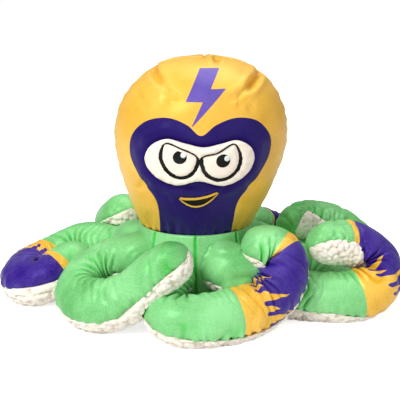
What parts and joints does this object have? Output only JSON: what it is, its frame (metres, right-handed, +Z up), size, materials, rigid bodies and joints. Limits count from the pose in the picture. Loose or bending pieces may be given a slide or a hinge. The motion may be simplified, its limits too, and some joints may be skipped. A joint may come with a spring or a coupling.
{
  "type": "plush octopus",
  "caption": "Stuffed plush octopus toy with an egg-shaped head on a short trunk and curled stuffed arms with bumpy fleece soles; the head nods and each arm bends outwards.",
  "frame": {"origin": "on the floor under the neck, at the middle of the flat base panel", "axes": "+Z up; the face looks towards -Y; +X is the viewer's right and the longest extent"},
  "size_m": [0.3632, 0.2986, 0.229],
  "materials": {
    "yellow_velour": "short-pile velour with a soft sheen",
    "green_velour": "short-pile velour with a soft sheen",
    "cream_fleece": "bumpy sherpa fleece",
    "stuffing": "polyester fibre filling",
    "black_thread": "satin-stitch embroidery thread",
    "white_thread": "satin-stitch embroidery thread",
    "yellow_thread": "satin-stitch embroidery thread"
  },
  "bodies": {
    "torso": {"trunk_filling": "stuffing", "trunk_gore_1": "green_velour", "trunk_gore_2": "green_velour", "trunk_gore_3": "green_velour", "trunk_gore_4": "green_velour", "trunk_gore_5": "green_velour", "trunk_gore_6": "green_velour", "trunk_gore_7": "green_velour", "trunk_gore_8": "green_velour", "base_panel": "cream_fleece", "arm_1_root": "green_velour", "sole_1_root": "cream_fleece", "arm_2_root": "green_velour", "sole_2_root": "cream_fleece", "arm_3_root": "green_velour", "sole_3_root": "cream_fleece", "arm_4_root": "green_velour", "sole_4_root": "cream_fleece", "arm_5_root": "green_velour", "sole_5_root": "cream_fleece", "arm_6_root": "green_velour", "sole_6_root": "cream_fleece", "arm_7_root": "green_velour", "sole_7_root": "cream_fleece", "arm_8_root": "green_velour", "sole_8_root": "cream_fleece"},
    "head": {"head_filling": "stuffing", "head_front_panel": "yellow_velour", "head_back_left_panel": "yellow_velour", "head_back_right_panel": "yellow_velour", "eye_patch": "cream_fleece", "eye_outline_left": "black_thread", "pupil_left": "black_thread", "highlight_left": "white_thread", "eye_outline_right": "black_thread", "pupil_right": "black_thread", "highlight_right": "white_thread", "mouth_trim": "yellow_thread", "mouth_fill": "black_thread"},
    "arm_1": {"arm_1_end": "green_velour", "sole_1_end": "cream_fleece"},
    "arm_2": {"arm_2_end": "green_velour", "sole_2_end": "cream_fleece"},
    "arm_3": {"arm_3_end": "green_velour", "sole_3_end": "cream_fleece"},
    "arm_4": {"arm_4_end": "green_velour", "sole_4_end": "cream_fleece"},
    "arm_5": {"arm_5_end": "green_velour", "sole_5_end": "cream_fleece"},
    "arm_6": {"arm_6_end": "green_velour", "sole_6_end": "cream_fleece"},
    "arm_7": {"arm_7_end": "green_velour", "sole_7_end": "cream_fleece"},
    "arm_8": {"arm_8_end": "green_velour", "sole_8_end": "cream_fleece"}
  },
  "joints": [
    {"name": "head_nod", "type": "hinge", "parent": "torso", "child": "head", "pos_m": [0, 0, 0.096], "axis": [1, 0, 0], "range_deg": [-8, 8], "stiffness_Nm_per_rad": 1},
    {"name": "arm_1_bend", "type": "hinge", "parent": "torso", "child": "arm_1", "pos_m": [0.02675, -0.10854, 0.01347], "axis": [0, 0, -1], "range_deg": [0, 20], "stiffness_Nm_per_rad": 0.1},
    {"name": "arm_2_bend", "type": "hinge", "parent": "torso", "child": "arm_2", "pos_m": [0.13516, -0.05847, 0.01709], "axis": [0, 0, -1], "range_deg": [0, 20], "stiffness_Nm_per_rad": 0.1},
    {"name": "arm_3_bend", "type": "hinge", "parent": "torso", "child": "arm_3", "pos_m": [0.14895, 0.0259, 0.01915], "axis": [0, 0, -1], "range_deg": [0, 20], "stiffness_Nm_per_rad": 0.1},
    {"name": "arm_4_bend", "type": "hinge", "parent": "torso", "child": "arm_4", "pos_m": [0.12724, 0.10909, 0.01996], "axis": [0, 0, -1], "range_deg": [0, 20], "stiffness_Nm_per_rad": 0.1},
    {"name": "arm_5_bend", "type": "hinge", "parent": "torso", "child": "arm_5", "pos_m": [0.04942, 0.14544, 0.0196], "axis": [0, 0, -1], "range_deg": [0, 20], "stiffness_Nm_per_rad": 0.1},
    {"name": "arm_6_bend", "type": "hinge", "parent": "torso", "child": "arm_6", "pos_m": [-0.02451, 0.13831, 0.02037], "axis": [0, 0, -1], "range_deg": [0, 20], "stiffness_Nm_per_rad": 0.1},
    {"name": "arm_7_bend", "type": "hinge", "parent": "torso", "child": "arm_7", "pos_m": [-0.15646, 0.06816, 0.02294], "axis": [0, 0, -1], "range_deg": [0, 20], "stiffness_Nm_per_rad": 0.1},
    {"name": "arm_8_bend", "type": "hinge", "parent": "torso", "child": "arm_8", "pos_m": [-0.0939, -0.0818, 0.02163], "axis": [0, 0, -1], "range_deg": [0, 20], "stiffness_Nm_per_rad": 0.1}
  ]
}
